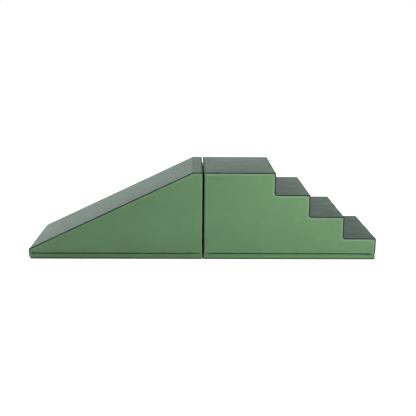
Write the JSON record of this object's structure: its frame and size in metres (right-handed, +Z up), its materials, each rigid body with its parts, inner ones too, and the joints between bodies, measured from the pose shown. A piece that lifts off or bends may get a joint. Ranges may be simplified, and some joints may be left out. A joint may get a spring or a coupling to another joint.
{
  "type": "soft play foam climber",
  "caption": "Toddler climb and slide set: a covered foam ramp block and a covered foam stair block that join at their tall walls, each with a zip along the foot of its front.",
  "frame": {"origin": "on the floor, midway between the two blocks, at the centre of the bounding box's base, which the zip sliders on the front make 4.6 mm deeper than the blocks", "axes": "+X along the climber from the ramp to the foot of the stairs, +Z up, and the long side with the zip faces -Y"},
  "size_m": [1.9696, 0.5546, 0.5],
  "materials": {
    "green_leathercloth": "matte fine-grained leathercloth, sage green",
    "dark_leathercloth": "satin fine-grained leathercloth, dark grey-green",
    "foam": "open-cell foam, off-white",
    "anti_slip_sheet": "dark woven sheet with rubber dots",
    "zip_tape": "woven tape, dark green",
    "zip_coil": "moulded coil, dark green",
    "zip_metal": "dark green painted die casting",
    "hook_and_loop": "black hook and loop tape"
  },
  "bodies": {
    "stair_block": {"stair_foam_core": "foam", "stair_step_cover": "dark_leathercloth", "stair_front_panel": "green_leathercloth", "stair_back_panel": "green_leathercloth", "stair_tall_wall": "green_leathercloth", "stair_base_band": "green_leathercloth", "stair_base_sheet": "anti_slip_sheet", "stair_zip_lower_tape": "zip_tape", "stair_zip_upper_tape": "zip_tape", "stair_zip_coil": "zip_coil", "stair_zip_bottom_stop": "zip_metal", "stair_zip_top_stop": "zip_metal", "stair_loop_strip_front": "hook_and_loop", "stair_loop_strip_back": "hook_and_loop"},
    "ramp_block": {"ramp_foam_core": "foam", "ramp_slide_cover": "dark_leathercloth", "ramp_front_panel": "green_leathercloth", "ramp_back_panel": "green_leathercloth", "ramp_tall_wall": "green_leathercloth", "ramp_base_band": "green_leathercloth", "ramp_base_sheet": "anti_slip_sheet", "ramp_zip_lower_tape": "zip_tape", "ramp_zip_upper_tape": "zip_tape", "ramp_zip_coil": "zip_coil", "ramp_zip_bottom_stop": "zip_metal", "ramp_zip_top_stop": "zip_metal", "ramp_hook_strip_front": "hook_and_loop", "ramp_hook_strip_back": "hook_and_loop"},
    "stair_zip_slider": {"stair_zip_slider": "zip_metal"},
    "stair_zip_pull": {"stair_zip_pull": "zip_metal"},
    "ramp_zip_slider": {"ramp_zip_slider": "zip_metal"},
    "ramp_zip_pull": {"ramp_zip_pull": "zip_metal"}
  },
  "joints": [
    {"name": "ramp_pull_away", "type": "slide", "parent": "stair_block", "child": "ramp_block", "axis": [-1, 0, 0], "range_m": [0, 0.3]},
    {"name": "stair_zip_slide", "type": "slide", "parent": "stair_block", "child": "stair_zip_slider", "axis": [-1, 0, 0], "range_m": [0, 0.911]},
    {"name": "stair_zip_pull_hinge", "type": "hinge", "parent": "stair_zip_slider", "child": "stair_zip_pull", "pos_m": [0.94975, -0.275, 0.0325], "axis": [0, 0, 1], "range_deg": [0, 170]},
    {"name": "ramp_zip_slide", "type": "slide", "parent": "ramp_block", "child": "ramp_zip_slider", "axis": [1, 0, 0], "range_m": [0, 0.923]},
    {"name": "ramp_zip_pull_hinge", "type": "hinge", "parent": "ramp_zip_slider", "child": "ramp_zip_pull", "pos_m": [-0.95575, -0.275, 0.0325], "axis": [0, 0, -1], "range_deg": [0, 170]}
  ]
}
